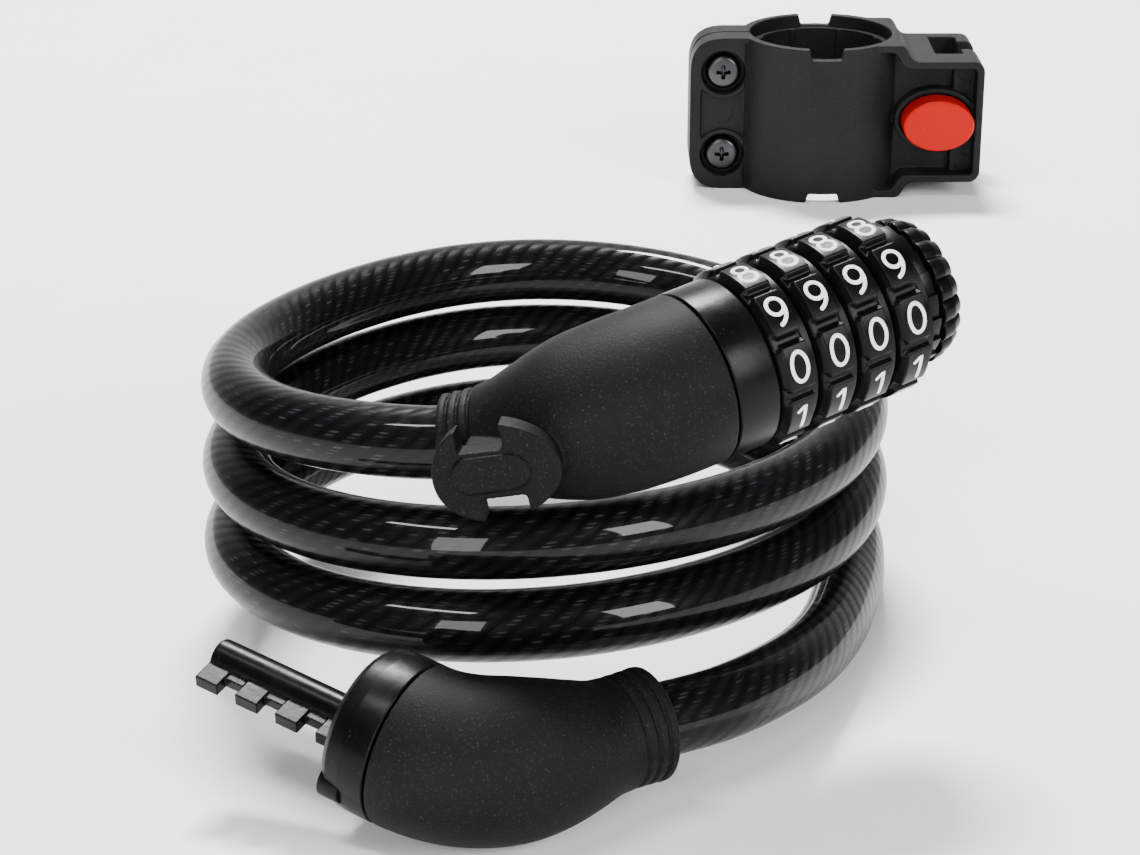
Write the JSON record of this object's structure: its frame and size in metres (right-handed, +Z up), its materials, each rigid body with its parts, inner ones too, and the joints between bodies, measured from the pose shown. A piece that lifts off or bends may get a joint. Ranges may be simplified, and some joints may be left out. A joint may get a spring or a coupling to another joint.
{
  "type": "cable lock",
  "caption": "Coiled steel cable combination lock with number dials, a toothed bolt plug and a clamp-on carrier bracket.",
  "frame": {"origin": "on the floor, at the middle of the box around the lock head, the plug and the bracket, without the cable", "axes": "+Z up from the floor, +Y away from the coil's front, where the lock head and the plug lie, towards the bracket"},
  "size_m": [0.174, 0.3851, 0.0829],
  "materials": {
    "boot": "fine matt moulded black",
    "gloss": "satin gloss black",
    "sheath": "clear smoky black vinyl over a twisted rope",
    "bracket": "fine matt moulded dark grey",
    "button": "satin orange red",
    "steel": "bright zinc plated",
    "black_steel": "black zinc plated",
    "zinc": "dull cast zinc",
    "brass": "turned",
    "rubber": "matt"
  },
  "bodies": {
    "lock": {"cable_sheath": "sheath", "cable_core": "steel", "head_boot": "boot", "head_ferrule": "zinc", "head_collar": "gloss", "detent_strip": "steel", "knob_clip": "steel", "ejector_spring": "steel", "plug_boot": "boot", "plug_ferrule": "zinc", "plug_collar": "gloss", "plug_bolt": "gloss", "bolt_pin": "steel"},
    "dial_1": {"dial_1": "gloss", "sleeve_1": "brass"},
    "dial_2": {"dial_2": "gloss", "sleeve_2": "brass"},
    "dial_3": {"dial_3": "gloss", "sleeve_3": "brass"},
    "dial_4": {"dial_4": "gloss", "sleeve_4": "brass"},
    "knob": {"end_knob": "gloss"},
    "ejector": {"ejector_plunger": "brass"},
    "bracket": {"bracket_clamp": "bracket", "clamp_liner": "rubber", "clamp_screw_1": "black_steel", "clamp_screw_2": "black_steel", "clamp_nut_1": "black_steel", "clamp_nut_2": "black_steel", "button_spring": "steel"},
    "button": {"release_button": "button", "latch_catch": "steel"}
  },
  "joints": [
    {"name": "dial_1_turn", "type": "hinge", "parent": "lock", "child": "dial_1", "pos_m": [-0.006, -0.1406, 0.0617], "axis": [0.8446, 0.5077, 0.1699], "continuous": true},
    {"name": "dial_2_turn", "type": "hinge", "parent": "lock", "child": "dial_2", "pos_m": [-0.006, -0.1406, 0.0617], "axis": [0.8446, 0.5077, 0.1699], "continuous": true},
    {"name": "dial_3_turn", "type": "hinge", "parent": "lock", "child": "dial_3", "pos_m": [-0.006, -0.1406, 0.0617], "axis": [0.8446, 0.5077, 0.1699], "continuous": true},
    {"name": "dial_4_turn", "type": "hinge", "parent": "lock", "child": "dial_4", "pos_m": [-0.006, -0.1406, 0.0617], "axis": [0.8446, 0.5077, 0.1699], "continuous": true},
    {"name": "knob_turn", "type": "hinge", "parent": "lock", "child": "knob", "pos_m": [-0.006, -0.1406, 0.0617], "axis": [0.8446, 0.5077, 0.1699], "range_deg": [0, 90]},
    {"name": "ejector_push", "type": "slide", "parent": "lock", "child": "ejector", "axis": [-0.8446, -0.5077, -0.1699], "range_m": [0, 0.005], "stiffness_N_per_m": 400, "deforming": ["ejector_spring"]},
    {"name": "bracket_lift", "type": "slide", "parent": "lock", "child": "bracket", "axis": [0, 0, 1], "range_m": [0, 0.08]},
    {"name": "button_press", "type": "slide", "parent": "bracket", "child": "button", "axis": [0, 1, 0], "range_m": [0, 0.003], "stiffness_N_per_m": 900, "deforming": ["button_spring"]}
  ]
}
